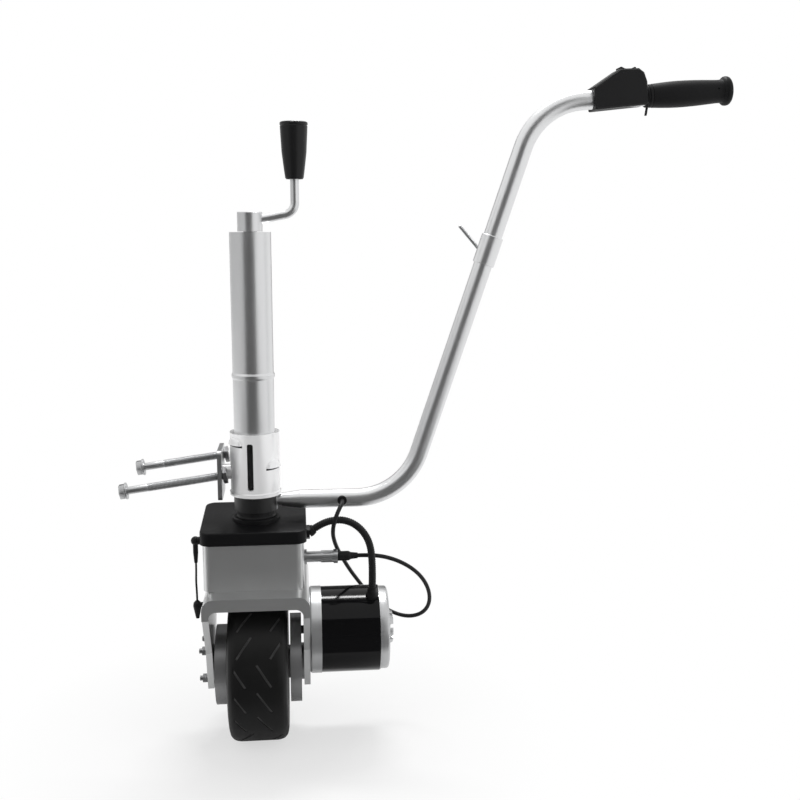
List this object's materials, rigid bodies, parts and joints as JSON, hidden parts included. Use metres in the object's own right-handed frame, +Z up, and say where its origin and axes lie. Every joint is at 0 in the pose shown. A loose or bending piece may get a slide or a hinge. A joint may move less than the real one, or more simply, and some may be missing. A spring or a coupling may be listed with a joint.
{
  "type": "motorised jockey wheel",
  "caption": "Motor driven jockey wheel for a caravan drawbar: screw jack mast, steered fork with geared wheel, control box, and a steering handle with a rocker switch",
  "frame": {"origin": "middle of the drawbar plate's outer face, on the swivel's axis", "axes": "+Z up along the mast, +X from the drawbar plate towards the motor and the steering handle, +Y away from the picture's viewer"},
  "size_m": [0.7264, 0.184, 0.805],
  "materials": {
    "zinc_steel": "zinc plated",
    "collar_chrome": "bright chrome",
    "mast_silver": "satin silver",
    "bright_steel": "machined",
    "bronze": "machined",
    "knob_black": "moulded, fine matt",
    "unit_silver": "satin silver paint",
    "lid_black": "gloss",
    "relay_black": "matt",
    "gland_black": "matt",
    "lead_black": "matt",
    "socket_silver": "nickel plated",
    "motor_silver": "cast and painted",
    "motor_black": "gloss",
    "case_grey": "cast",
    "tyre_black": "rubber",
    "handle_silver": "satin silver",
    "switch_black": "moulded, fine matt",
    "grip_black": "matt rubber"
  },
  "bodies": {
    "bracket": {"drawbar_plate": "zinc_steel", "pivot_pin": "zinc_steel", "drawbar_bolts": "zinc_steel", "drawbar_nuts": "zinc_steel"},
    "mast": {"swivel_collar": "collar_chrome", "mast_tube": "mast_silver", "mast_cap": "bright_steel", "thrust_bearing": "bright_steel"},
    "crank": {"crank_arm": "mast_silver", "crank_collar": "mast_silver", "lead_screw": "bright_steel"},
    "knob": {"crank_knob": "knob_black"},
    "ram": {"ram_tube": "bright_steel", "ram_nut": "bronze", "kingpin": "bright_steel", "kingpin_bolt": "bright_steel"},
    "drive": {"fork": "unit_silver", "neck_tube": "bright_steel", "control_box": "unit_silver", "box_lid": "lid_black", "motor_relays": "relay_black", "neck_seal": "knob_black", "motor_lead_gland": "gland_black", "motor_boot": "gland_black", "motor_lead": "lead_black", "control_socket": "socket_silver", "coupling_ring": "socket_silver", "control_plug": "gland_black", "tube_grommet": "gland_black", "control_lead": "lead_black", "side_gland": "gland_black", "side_boot": "gland_black", "side_lead": "lead_black", "motor_flange": "motor_silver", "motor_can": "motor_black", "field_magnets": "bright_steel", "motor_end_cap": "motor_silver", "gear_case": "case_grey", "axle": "bright_steel", "spacer_disc": "case_grey", "disc_studs": "zinc_steel", "disc_nuts": "zinc_steel", "leg_screw": "gland_black", "handle_lower_tube": "handle_silver", "steering_head": "knob_black", "handle_sleeve": "handle_silver"},
    "rotor": {"armature": "bright_steel", "pinion": "bright_steel"},
    "wheel": {"tyre": "tyre_black", "wheel_hub": "case_grey", "wheel_bearings": "bright_steel", "wheel_gear": "bright_steel"},
    "handle": {"handle_upper_tube": "handle_silver", "switch_housing": "switch_black", "cable_tie": "gland_black", "grip": "grip_black"},
    "lever": {"clamp_lever": "zinc_steel"},
    "rocker": {"rocker_switch": "switch_black"}
  },
  "joints": [
    {"name": "stow_swivel", "type": "hinge", "parent": "bracket", "child": "mast", "pos_m": [0, 0, 0], "axis": [1, 0, 0], "range_deg": [-90, 90]},
    {"name": "crank_turn", "type": "hinge", "parent": "mast", "child": "crank", "pos_m": [0.043, 0, 0.294], "axis": [0, 0, 1], "range_deg": [0, 11521]},
    {"name": "knob_spin", "type": "hinge", "parent": "crank", "child": "knob", "pos_m": [0.095, 0, 0.374], "axis": [0, 0, 1], "continuous": true},
    {"name": "lift", "type": "slide", "parent": "mast", "child": "ram", "axis": [0, 0, -1], "range_m": [0, 0.16]},
    {"name": "steer", "type": "hinge", "parent": "ram", "child": "drive", "pos_m": [0.043, 0, -0.046], "axis": [0, 0, 1], "range_deg": [-90, 90]},
    {"name": "wheel_spin", "type": "hinge", "parent": "drive", "child": "wheel", "pos_m": [0.043, 0, -0.242], "axis": [1, 0, 0], "continuous": true},
    {"name": "motor_spin", "type": "hinge", "parent": "drive", "child": "rotor", "pos_m": [0.143, 0, -0.2015], "axis": [1, 0, 0], "continuous": true},
    {"name": "handle_slide", "type": "slide", "parent": "drive", "child": "handle", "axis": [0.3191, 0, 0.9477], "range_m": [0, 0.055]},
    {"name": "clamp_lever_turn", "type": "hinge", "parent": "drive", "child": "lever", "pos_m": [0.3195, 0.019, 0.255], "axis": [0, 1, 0], "range_deg": [0, 120]},
    {"name": "rocker_tilt", "type": "hinge", "parent": "handle", "child": "rocker", "pos_m": [0.4815, 0, 0.46], "axis": [0, 1, 0], "range_deg": [-7, 7], "stiffness_Nm_per_rad": 0.05}
  ],
  "couplings": [
    {"joint": "crank_turn", "follows": "lift", "rad_per_m": 1256.6},
    {"joint": "motor_spin", "follows": "wheel_spin", "ratio": -2.8571}
  ]
}
